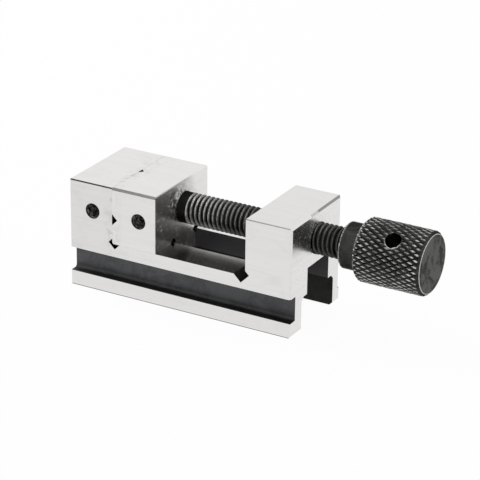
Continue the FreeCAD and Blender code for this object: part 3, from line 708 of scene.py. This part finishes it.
def hole_flank_glint(position, normal):
    """Painted highlight: paler steel on the flanks that look out of the tapped side holes."""
    outward = abs(split(normal)[1]).rescale(0.6, 0.9)
    return outward * blotches(position, 0.5 * MM, 0.42, 0.66) * 0.4, 0.0, 0.0


def near(value, middle, width):
    """1 at a value and 0 from this width away."""
    return abs(value - middle).rescale(0.0, width, 1.0, 0.0)


def spindle_wear_and_glint(position, normal):
    """Bare steel on the knurl's peaks, the thread's crests and edges, with painted highlights added on some of
    them; pale oxide on the end.
    """
    sizes = bpy.context.scene.vise_spindle
    head, radius = sizes.head_radius, off_screw(position)
    along, across, height = split(position)
    speckle = blotches(position, 0.35 * MM, 0.35, 0.65)

    # Painted highlights: more bright peaks near both ends of the head and on its lower half; the bare peaks
    # themselves are worn steel
    peak_glint_share = most(near(along, sizes.head_place + sizes.head_chamfer, 4.5 * MM),
                   near(along, SPINDLE_HIGH.x - sizes.head_chamfer, 5.0 * MM),
                   height.rescale(AXIS_Z - 5 * MM, AXIS_Z + 2 * MM, 0.7, 0.0))
    peaks = (radius.rescale(head - 0.13 * MM, head - 0.02 * MM)
             * blotches(position, 1.2 * MM, 0.30, 0.58) * peak_glint_share.rescale(0.0, 0.9, 0.45, 1.0))

    # Worn steel on the thread's crest, painted brighter as highlights on flanks that face -X and on the turns
    # nearest the jaw
    worn_and_lit_crest = (near(radius, sizes.thread_radius, 0.55 * MM)
              * split(normal)[0].rescale(-0.1, 0.6, 1.0, 0.45)
              * speckle.rescale(0.0, 1.0, 0.3, 1.0)
              * along.rescale(14 * MM, 30 * MM, 1.5, 0.34))
    # Painted highlights: brighter on top and on the near side, dimmer past the block's end
    crests = (worn_and_lit_crest.step('MINIMUM', 1.0)
              * along.rescale(BODY_HIGH.x - 2 * MM, BODY_HIGH.x, 1.0, 0.6)
              * height.rescale(AXIS_Z - 3.5 * MM, AXIS_Z + 3 * MM, 0.6, 1.0)
              * across.rescale(AXIS_Y + 0.2 * MM, AXIS_Y + 2 * MM, 1.0, 0.4)
              * (along > sizes.thread_start) * (along < sizes.collar_place - WELD))

    rim = head - sizes.head_chamfer
    end_rim = near(radius, rim, 0.16 * MM) * near(along, SPINDLE_HIGH.x, 0.2 * MM)
    head_rim = near(radius, rim, 0.5 * MM) * near(along, sizes.head_place, 0.9 * MM) * speckle
    collar_edge = sizes.collar_place + sizes.collar_chamfer
    collar_rim = (near(radius, sizes.collar_radius, 0.25 * MM)
                  * near(along, collar_edge, 0.36 * MM) * speckle)

    hole = MOUNTS["tommy_bar_hole"]
    from_middle = vector_step('SUBTRACT', position,
                              (hole["pos_m"][0], AXIS_Y, AXIS_Z))
    off_hole = vector_step('LENGTH', vector_step('CROSS_PRODUCT', from_middle, hole["axis"]))
    # Painted highlight: a bright lower lip at the cross hole's mouth, faint at its upper lip
    mouth = (near(off_hole, hole["dims"]["r_mm"] * MM + 0.10 * MM, 0.22 * MM)
             * radius.rescale(head - 0.6 * MM, head - 0.4 * MM)
             * split(from_middle)[2].rescale(4.9 * MM, 6.0 * MM, 0.9, 0.04))
    specks = blotches(position, 0.3 * MM, 0.66, 0.74) * 0.3
    pale = along > SPINDLE_HIGH.x - 0.05 * MM
    grey = along.rescale(sizes.thread_start - 0.4 * MM, sizes.thread_start + MM) - pale
    return most(peaks, crests, end_rim, head_rim, mouth, collar_rim, specks), pale, grey


def dress_node(name, material):
    """Give a carried-over piece a better material."""
    mesh = frame["nodes"][name].data
    mesh.materials.clear()
    mesh.materials.append(material)


def lay_square(name, size, matrix, material):
    """A flat square with this side."""
    bm = bmesh.new()
    bmesh.ops.create_grid(bm, x_segments=1, y_segments=1, size=size / 2)
    square = finish_piece(bm, name, matrix)
    square.data.materials.append(material)
    return square


class VISE_OT_studio(bpy.types.Operator):
    """Camera, soft lamps, dark card, white air and the pale floor"""
    bl_idname = "vise.studio"
    bl_label = "Set up the studio"

    def execute(self, context):
        studio = context.scene.vise_studio
        target = Vector(studio.target)
        self.place_camera(context, studio, target)
        self.place_lamp(context, "key_lamp", studio.key_spot, studio.key_watts, target)
        self.place_lamp(context, "back_lamp", studio.back_spot, studio.back_watts, target)
        self.hang_card(studio, target)
        self.fill_air(context, studio)
        self.lay_floor(studio)
        context.scene.view_settings.view_transform = 'Standard'
        return {'FINISHED'}

    def place_camera(self, context, studio, target):
        camera = bpy.data.objects.new("camera", bpy.data.cameras.new("camera"))
        context.scene.collection.objects.link(camera)
        camera.data.lens = studio.lens
        camera.data.clip_start = 0.01
        turn = (Matrix.Rotation(studio.azimuth, 4, 'Z')
                @ Matrix.Rotation(math.pi / 2 - studio.elevation, 4, 'X')
                @ Matrix.Rotation(studio.roll, 4, 'Z'))
        back = turn @ Vector((0, 0, studio.distance))
        camera.matrix_world = Matrix.Translation(target + back) @ turn
        context.scene.camera = camera

    def place_lamp(self, context, name, spot, watts, target):
        lamp = bpy.data.objects.new(name, bpy.data.lights.new(name, 'AREA'))
        lamp.data.size = context.scene.vise_studio.lamp_size
        lamp.data.energy = watts
        lamp.location = spot
        lamp.rotation_euler = (target - Vector(spot)).to_track_quat('-Z', 'Y').to_euler()
        context.scene.collection.objects.link(lamp)

    def hang_card(self, studio, target):
        """A dark card over the left shoulder, which only the gloss sees."""
        material, tree = bare_material("dark_card")
        matt = add_node(tree, 'ShaderNodeBsdfDiffuse', {"Color": (*studio.card_colour, 1)})
        add_node(tree, 'ShaderNodeOutputMaterial', {"Surface": matt.outputs[0]})
        spot = Vector(studio.card_spot)
        turn = (target - spot).to_track_quat('Z', 'Y').to_matrix().to_4x4()
        card = lay_square("dark_card", studio.card_size, Matrix.Translation(spot) @ turn, material)
        card.visible_camera = card.visible_diffuse = card.visible_shadow = False

    def seen_directly(self, tree):
        """1 on rays from the camera, from gloss and from glass."""
        path = tree.nodes.new('ShaderNodeLightPath').outputs
        return most(*[Value(path["Is %s Ray" % kind])
                      for kind in ("Camera", "Glossy", "Transmission")])

    def fill_air(self, context, studio):
        world = bpy.data.worlds.new("white_air")
        context.scene.world = world
        world.use_nodes = True
        tree = world.node_tree
        tree.nodes.clear()
        level = blend_values(self.seen_directly(tree), studio.air_level, 1.0)
        air = add_node(tree, 'ShaderNodeBackground', {"Color": (1, 1, 1, 1), "Strength": level})
        add_node(tree, 'ShaderNodeOutputWorld', {"Surface": air.outputs[0]})

    def lay_floor(self, studio):
        material, tree = bare_material("pale_floor")
        matt = add_node(tree, 'ShaderNodeBsdfDiffuse', {"Color": (*studio.floor_colour, 1)})
        white = add_node(tree, 'ShaderNodeEmission', {"Color": (1, 1, 1, 1), "Strength": 1.0})
        glow = self.seen_directly(tree) * studio.floor_glow
        surface = add_node(tree, 'ShaderNodeMixShader', {0: glow, 1: matt.outputs[0],
                                                         2: white.outputs[0]})
        add_node(tree, 'ShaderNodeOutputMaterial', {"Surface": surface.outputs[0]})
        floor = lay_square("floor", studio.floor_size, Matrix.Identity(4), material)


class VISE_OT_finishes(bpy.types.Operator):
    """Shader groups for marked-off places, grinding marks, scuffs and blotches"""
    bl_idname = "vise.finishes"
    bl_label = "Build the shared finishes"

    def execute(self, context):
        build_box_group()
        build_tube_group()
        build_grinding_group()
        build_scuff_group()
        build_blotch_group()
        return {'FINISHED'}


class VISE_OT_spindle(bpy.types.Operator):
    """Screw with its plain nose, thread, collar and knurled head with a cross hole"""
    bl_idname = "vise.spindle"
    bl_label = "Make the screw"

    def execute(self, context):
        sizes, oxide = context.scene.vise_spindle, context.scene.vise_oxide
        bm = bmesh.new()
        root = sizes.thread_radius - sizes.thread_depth
        wind_thread(bm, sizes.thread_start, sizes.collar_place, sizes.thread_pitch,
                    thread_profile(sizes.thread_radius, root), sizes.thread_radius,
                    sizes.thread_pitch / 2, sizes.thread_turn)
        groove_low = sizes.pin_groove_place - sizes.pin_groove_width / 2
        groove_high = sizes.pin_groove_place + sizes.pin_groove_width / 2
        nose_end = draw_ring(bm, open_edges(bm, sizes.thread_start), (
            (sizes.thread_start, sizes.nose_radius),
            (groove_high, sizes.nose_radius),
            (groove_high, sizes.pin_groove_radius),
            (groove_low, sizes.pin_groove_radius),
            (groove_low, sizes.nose_radius),
            (SPINDLE_LOW.x + sizes.nose_chamfer, sizes.nose_radius),
            (SPINDLE_LOW.x, sizes.nose_radius - sizes.nose_chamfer),
        ))
        bmesh.ops.edgeloop_fill(bm, edges=nose_end)
        draw_ring(bm, open_edges(bm, sizes.collar_place), (
            (sizes.collar_place, sizes.collar_radius - sizes.collar_chamfer),
            (sizes.collar_place + sizes.collar_chamfer, sizes.collar_radius),
            (sizes.head_place, sizes.collar_radius),
        ))
        make_knurled_head(bm, sizes)
        bmesh.ops.bridge_loops(bm, edges=open_edges(bm, sizes.head_place))
        centre = Matrix.Translation((0, AXIS_Y, AXIS_Z))
        spindle = finish_piece(bm, "threaded_spindle", centre)

        hole = MOUNTS["tommy_bar_hole"]
        turn = Vector((1, 0, 0)).rotation_difference(Vector(hole["axis"])).to_matrix().to_4x4()
        middle = Vector((hole["pos_m"][0], AXIS_Y, AXIS_Z))
        cut_away(spindle, make_bar_hole_cutter(sizes, Matrix.Translation(middle) @ turn))
        spindle.data.set_sharp_from_angle(angle=SHARP)
        spindle.data.materials.clear()
        spindle.data.materials.append(make_black_steel(
            "black_oxide_worn", spindle_wear_and_glint, oxide.matt, 1.0, oxide.screw_rim))
        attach(spindle, "screw")
        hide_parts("spindle")
        return {'FINISHED'}


class VISE_OT_hole_threads(bpy.types.Operator):
    """Threads cut in the screw block and in the four tapped side holes"""
    bl_idname = "vise.hole_threads"
    bl_label = "Cut the threads in the holes"

    def execute(self, context):
        sizes, oxide = context.scene.vise_nut_threads, context.scene.vise_oxide
        black = make_black_steel("black_oxide_thread", hole_flank_glint, oxide.hole_matt,
                                 oxide.hole_shade, oxide.hole_rim)
        for name, body in SIDE_HOLES.items():
            self.tap_side_hole(name, body, sizes, black)
        self.tap_screw_block(sizes, context.scene.vise_spindle, black)
        return {'FINISHED'}

    def line_hole(self, name, outer, inner, reach, pitch, turn, matrix):
        """A closed sleeve with a thread inside, along the X axis from 0 to reach."""
        bm = bmesh.new()
        wind_thread(bm, 0.0, reach, pitch, thread_profile(inner, outer - WELD), outer - WELD,
                    pitch / 2, turn, steps=36)
        far_ring = open_edges(bm, reach)
        wall = draw_ring(bm, open_edges(bm, 0.0), ((0.0, outer), (reach, outer)))
        bmesh.ops.bridge_loops(bm, edges=wall + far_ring)
        return finish_piece(bm, name, matrix)

    def tap_side_hole(self, name, body, sizes, black):
        mount = MOUNTS[name]
        radius = mount["dims"]["r_mm"] * MM - sizes.skin
        reach = mount["dims"]["length_mm"] * MM - 2 * sizes.skin
        outwards = Vector(mount["axis"])
        turn = Vector((1, 0, 0)).rotation_difference(-outwards).to_matrix().to_4x4()
        mouth = Vector(mount["pos_m"]) + outwards * reach / 2
        sleeve = self.line_hole(name + "_thread", radius, radius - sizes.small_depth, reach,
                                sizes.small_pitch, 0.0, Matrix.Translation(mouth) @ turn)
        sleeve.data.materials.append(black)
        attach(sleeve, body)

    def tap_screw_block(self, sizes, spindle, black):
        """The nut thread lies half a pitch off the screw's, so that its ridges fill the roots."""
        start = SCREW_AXIS.x - BLOCK_LENGTH + sizes.lead_in
        reach = BODY_HIGH.x - start - sizes.skin
        outer = spindle.thread_radius + sizes.play
        inner = outer - spindle.thread_depth
        pitch = spindle.thread_pitch
        # The screw's root passes the start of the nut thread at this turn
        lag = (start - (spindle.thread_start - pitch)) / pitch + 0.5
        turn = spindle.thread_turn - 2 * math.pi * lag
        matrix = Matrix.Translation((start, AXIS_Y, AXIS_Z))
        sleeve = self.line_hole("screw_block_thread", outer, inner, reach, pitch, turn, matrix)
        sleeve.data.materials.append(black)
        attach(sleeve, "body")


class VISE_OT_steel(bpy.types.Operator):
    """Ground and blackened steel on the body and the jaw, plain steel on the hidden pieces"""
    bl_idname = "vise.steel"
    bl_label = "Finish the steel"

    def execute(self, context):
        self.finish_body()
        self.finish_jaw()
        self.finish_hidden(context.scene.vise_steel)
        return {'FINISHED'}

    def hole_tubes(self, body):
        """The masks of a body's tapped holes, from just inside their mouths to past their ends."""
        deeper = 1.5 * MM
        for mount in [MOUNTS[name] for name in SIDE_HOLES if SIDE_HOLES[name] == body]:
            centre = Vector(mount["pos_m"]) - Vector(mount["axis"]) * deeper / 2
            radius = mount["dims"]["r_mm"] * MM + 2 * SLACK
            reach = (mount["dims"]["length_mm"] * MM + deeper) / 2 - SLACK
            around = Vector((radius, reach, radius))
            yield centre, (1, 0, 1), radius, centre - around, centre + around

    def screw_tube(self, low_x, high_x):
        """The mask of the screw's bore between two places along it."""
        aside = 5 * MM
        return (SCREW_AXIS, (0, 1, 1), SCREW_BORE + 2 * SLACK,
                (low_x, AXIS_Y - aside, AXIS_Z - aside),
                (high_x, AXIS_Y + aside, AXIS_Z + aside))

    def groove_zones(self):
        """The clamping grooves on the near and on the far side."""
        walls = ((BODY_LOW.y + SLACK, BODY_LOW.y + NEAR_GROOVE_DEPTH + SLACK),
                 (BODY_HIGH.y - FAR_GROOVE_DEPTH - SLACK, BODY_HIGH.y - SLACK))
        return [((BODY_LOW.x - MM, near, RAIL - SLACK), (BODY_HIGH.x + MM, far, GROOVE_TOP + SLACK))
                for near, far in walls]

    def finish_body(self):
        near, far = BODY_LOW.y + SLACK, BODY_HIGH.y - SLACK
        left, right, end = BODY_LOW.x - MM, BODY_HIGH.x + MM, BODY_HIGH.x - SLACK
        top = BODY_HIGH.z
        slot, neck, foot = SLOT_START - SLACK, NECK_HALF + SLACK, FOOT_HALF + SLACK
        relief_top = BED + RELIEF_RISE - SLACK
        zones = [
            *self.groove_zones(),
            ((slot, AXIS_Y - foot, SLACK), (end, AXIS_Y + foot, LEDGE + SLACK)),
            ((slot, AXIS_Y - neck, SLACK), (end, AXIS_Y + neck, BED - SLACK)),
            ((BLOCK_FACE - MM, AXIS_Y - neck, SLACK), (end, AXIS_Y + neck, SLOT_ROOF + SLACK)),
            # The slanted reliefs at the feet of the fixed jaw and of the block
            ((-1.2 * MM, near, 11.9 * MM), (JAW_RELIEF - SLACK, far, relief_top)),
            ((BLOCK_FACE - BLOCK_RELIEF + SLACK, near, 11.4 * MM),
             (BLOCK_FACE + 1.1 * MM, far, relief_top)),
        ]
        tubes = [self.screw_tube(BLOCK_FACE + SLACK, right), *self.hole_tubes("body")]
        front, near_break = BODY_LOW.y - MM, BODY_LOW.y + EDGE_BREAK - SLACK
        end_break, end_break_low = END_BREAK - SLACK, top - END_BREAK + SLACK
        top_line, seam_line = 0.33 * MM, 0.06 * MM
        edges = [
            # Painted shade on the upper edges: the fixed jaw's near one, the block's near one and its end in two
            # parts
            ((left, front, top - top_line), (SLACK, near_break, top - SLACK), 0.9),
            ((BLOCK_FACE, near, top - EDGE_BREAK + SLACK), (end, near_break, top - SLACK), 0.25),
            ((BODY_HIGH.x - end_break, MM, end_break_low), (end, far, top - SLACK), 0.7),
            ((BODY_HIGH.x - end_break, -2.5 * MM, end_break_low), (end, MM, top - SLACK), 0.3),
            # Whole faces that are a little darker: the fixed jaw's near one, as painted shade, and the block's top
            ((left, front, GROOVE_TOP + 0.1 * MM), (-SLACK, near, top - top_line), 0.045),
            ((BLOCK_FACE, near, top - SLACK), (right, far, top + MM), 0.05),
            # The rail's lower edge as painted shade, the seam from the side and from above as dark joints, and the
            # bed's edge under the jaw as a dark joint
            ((left, front, -SLACK), (right, near, EDGE_BREAK - SLACK), 0.8),
            ((-seam_line, front, BED), (SLACK, near, top + MM), 0.12),
            ((-seam_line, near, BED), (SLACK, far + MM, top + MM), 0.3),
            ((SLACK, front, BED - seam_line), (JAW_HIGH.x, near, BED + SLACK), 0.2),
        ]
        dress_node("body", make_ground_steel("ground_steel_body", zones, tubes, edges,
                                             self.reflection_shade_on_bed, 0.25, self.groove_oxide_light_and_shade))

    def finish_jaw(self):
        near, far, top = JAW_LOW.y + SLACK, JAW_HIGH.y - SLACK, JAW_HIGH.z - SLACK
        face, outer, front = SLACK, JAW_HIGH.x - SLACK, JAW_LOW.y - MM
        level, upright = LEVEL_VEE_DEPTH + SLACK, UPRIGHT_VEE_DEPTH + SLACK
        zones = [
            ((face, near, LEVEL_VEE - level), (level + SLACK, far, LEVEL_VEE + level)),
            ((face, UPRIGHT_VEE - upright, BED + SLACK),
             (upright + SLACK, UPRIGHT_VEE + upright, top)),
            # The reliefs beside the tongue
            ((face, -5.5 * MM, 12.0 * MM), (outer, -3.3 * MM, 14.8 * MM)),
            ((face, 5.8 * MM, 12.0 * MM), (outer, 8.0 * MM, 14.8 * MM)),
        ]
        nose_bore_start = 3.6 * MM
        tubes = [self.screw_tube(nose_bore_start, outer), *self.hole_tubes("jaw")]
        seam_low, seam_line = BED + 0.05 * MM, 0.06 * MM
        edges = [((SLACK / 2, front, seam_low), (seam_line, near, top + MM), 0.12),
                 ((SLACK / 2, near, seam_low), (seam_line, far + MM, top + MM), 0.3)]
        dress_node("movable_jaw", make_ground_steel("ground_steel_jaw", zones, tubes, edges,
                                                    self.reflection_shade_on_jaw, 0.9))

    def reflection_shade_on_bed(self, position, _endwise):
        """Painted shade on the bed's near strip, where the steel would reflect the dark screw."""
        return marked_off(position, (0.0, BODY_LOW.y, BED - SLACK),
                          (BLOCK_FACE, AXIS_Y - NECK_HALF, BED + SLACK)) * 0.8

    def reflection_shade_on_jaw(self, position, endwise):
        """Painted shade on the near half of the face that the screw runs into, where it would reflect something
        dark.
        """
        return split(position)[1].rescale(0.0, 7 * MM, 0.8, 0.0) * endwise

    def groove_oxide_light_and_shade(self, position, patch):
        """Lighter oxide in the grooves and the slot's neck: painted light high up, painted shade low down, towards
        the block's end and in a stripe under the grooves' top edge.
        """
        along, _, height = split(position)
        in_groove = most(*[marked_off(position, *zone) for zone in self.groove_zones()])
        # Painted light and shade: lighter towards the grooves' top, darker towards the block's end, with a dark
        # painted stripe just under the top edge
        lit_oxide = (height.rescale(2.9 * MM, 5.9 * MM, 0.15, 1.0)
                * along.rescale(-14 * MM, 50 * MM, 0.9, 0.72)
                * height.rescale(GROOVE_TOP - 0.35 * MM, GROOVE_TOP - 0.15 * MM, 1.0, 0.2)
                * patch.rescale(0.1, 0.7, 0.65, 1.0) * in_groove)
        # The slot's neck under the block, painted lighter than its foot
        half = NECK_HALF + SLACK
        neck = marked_off(position, (SLOT_START - SLACK, AXIS_Y - half, LEDGE + SLACK),
                          (BODY_HIGH.x + MM, AXIS_Y + half, SLOT_ROOF + SLACK))
        return most(lit_oxide, neck * 0.62)

    def finish_hidden(self, steel):
        """Hardened steel with turning marks, darker than the ground faces."""
        material, shader, position, normal = new_metal("hardened_steel")
        marks = use_group("Grinding marks", position, Normal=normal, Width=steel.mark_width,
                          Length=steel.mark_length)[0]
        feed(shader, {"Base Color": blend_colours(marks, steel.hard_bright, steel.hard_dull),
                      "Roughness": blend_values(marks, 0.28, 0.42)})
        for name in ("guide_plate", "guide_screw", "retaining_pin_near", "retaining_pin_far"):
            dress_node(name, material)


class VISE_PT_panel(bpy.types.Panel):
    """Buttons and values for the vise's finish"""
    bl_label = "Toolmaker's vise"
    bl_idname = "VISE_PT_panel"
    bl_space_type = 'VIEW_3D'
    bl_region_type = 'UI'
    bl_category = "Vise"

    def draw(self, context):
        for operator in OPERATORS:
            self.layout.operator(operator.bl_idname)
        for name in SETTINGS:
            box = self.layout.box()
            group = getattr(context.scene, name)
            for key in group.__annotations__:
                box.prop(group, key)


OPERATORS = (VISE_OT_studio, VISE_OT_finishes, VISE_OT_spindle, VISE_OT_hole_threads, VISE_OT_steel)
SETTINGS = {
    "vise_spindle": SpindleSizes,
    "vise_nut_threads": NutThreadSizes,
    "vise_steel": SteelFinish,
    "vise_oxide": OxideFinish,
    "vise_studio": StudioSettings,
}


def register():
    for group in SETTINGS.values():
        bpy.utils.register_class(group)
    for name, group in SETTINGS.items():
        setattr(bpy.types.Scene, name, PointerProperty(type=group))
    for part in (*OPERATORS, VISE_PT_panel):
        bpy.utils.register_class(part)


def unregister():
    for part in reversed((*OPERATORS, VISE_PT_panel)):
        bpy.utils.unregister_class(part)
    for name in SETTINGS:
        delattr(bpy.types.Scene, name)
    for group in SETTINGS.values():
        bpy.utils.unregister_class(group)


def main():
    register()
    bpy.ops.vise.studio()
    bpy.ops.vise.finishes()
    bpy.ops.vise.spindle()
    bpy.ops.vise.hole_threads()
    bpy.ops.vise.steel()


if __name__ == "__main__":
    main()
